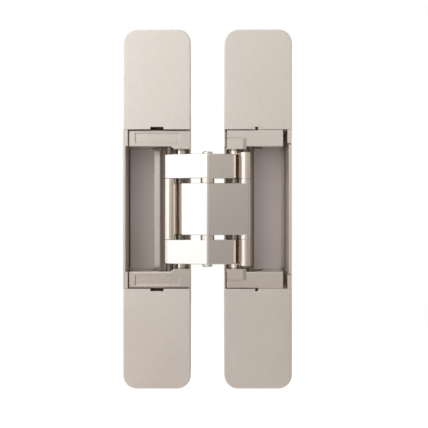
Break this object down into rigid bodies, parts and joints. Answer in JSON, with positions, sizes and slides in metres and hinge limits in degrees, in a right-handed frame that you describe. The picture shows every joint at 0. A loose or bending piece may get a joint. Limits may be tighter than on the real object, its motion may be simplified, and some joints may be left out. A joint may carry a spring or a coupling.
{
  "type": "concealed door hinge",
  "caption": "Concealed door hinge with crossing arms that fold into two mortised leaf cases, adjustable in height, side and depth.",
  "frame": {"origin": "middle of the frame leaf's screw line, in the plane of the flange's back, where the leaf seats in its mortise", "axes": "+Z along the pivot pins, up; +X from the frame leaf towards the door leaf when open; -Y out of the leaves' front faces"},
  "size_m": [0.075, 0.0299, 0.16],
  "materials": {
    "cover_nickel": "satin nickel plate, finely blasted, warm champagne tone",
    "carriage_nickel": "satin nickel on a die casting",
    "arm_nickel": "satin nickel on solid arms",
    "pin_steel": "turned steel, nickel plated",
    "case_zinc": "matt die cast case, nickel plated, darker inside"
  },
  "bodies": {
    "frame_leaf": {"frame_case": "case_zinc", "frame_cover_top": "cover_nickel", "frame_cover_bottom": "cover_nickel", "frame_lock_screws": "pin_steel"},
    "frame_slide": {"frame_carriage": "carriage_nickel", "frame_pivot_pin": "pin_steel", "frame_collar_upper": "pin_steel", "frame_collar_lower": "pin_steel"},
    "inner_link": {"inner_arm": "arm_nickel", "door_guide_pin": "pin_steel", "door_guide_sleeve_upper": "arm_nickel", "door_guide_sleeve_lower": "arm_nickel"},
    "outer_link": {"outer_arm_upper": "arm_nickel", "outer_arm_lower": "arm_nickel", "centre_pin": "pin_steel", "centre_spacer_upper": "pin_steel", "centre_spacer_lower": "pin_steel", "frame_guide_pin": "pin_steel", "frame_guide_sleeve": "arm_nickel"},
    "door_slide": {"door_carriage": "carriage_nickel", "door_bearing_top": "carriage_nickel", "door_bearing_bottom": "carriage_nickel", "door_pivot_pin": "pin_steel", "door_collar_middle": "pin_steel", "door_collar_upper": "pin_steel", "door_collar_lower": "pin_steel"},
    "door_shoes": {"door_shoe_top": "carriage_nickel", "door_shoe_bottom": "carriage_nickel"},
    "door_leaf": {"door_case": "case_zinc", "door_cover_top": "cover_nickel", "door_cover_bottom": "cover_nickel", "door_lock_screws": "pin_steel"}
  },
  "joints": [
    {"name": "height_adjust", "type": "slide", "parent": "frame_leaf", "child": "frame_slide", "axis": [0, 0, 1], "range_m": [-0.003, 0.003]},
    {"name": "frame_pivot", "type": "hinge", "parent": "frame_slide", "child": "inner_link", "pos_m": [0.0101, -0.0038, 0], "axis": [0, 0, -1], "range_deg": [0, 105]},
    {"name": "centre_pivot", "type": "hinge", "parent": "inner_link", "child": "outer_link", "pos_m": [0.0225, -0.0117, 0], "axis": [0, 0, -1], "range_deg": [-30, 0]},
    {"name": "door_pivot", "type": "hinge", "parent": "outer_link", "child": "door_slide", "pos_m": [0.0349, -0.0038, 0], "axis": [0, 0, -1], "range_deg": [0, 105]},
    {"name": "depth_adjust", "type": "slide", "parent": "door_slide", "child": "door_shoes", "axis": [0, 1, 0], "range_m": [-0.001, 0.001]},
    {"name": "side_adjust", "type": "slide", "parent": "door_shoes", "child": "door_leaf", "axis": [1, 0, 0], "range_m": [-0.0016, 0]}
  ],
  "couplings": [
    {"joint": "centre_pivot", "follows": "frame_pivot", "ratio": -0.28571},
    {"joint": "door_pivot", "follows": "frame_pivot", "ratio": 1}
  ]
}
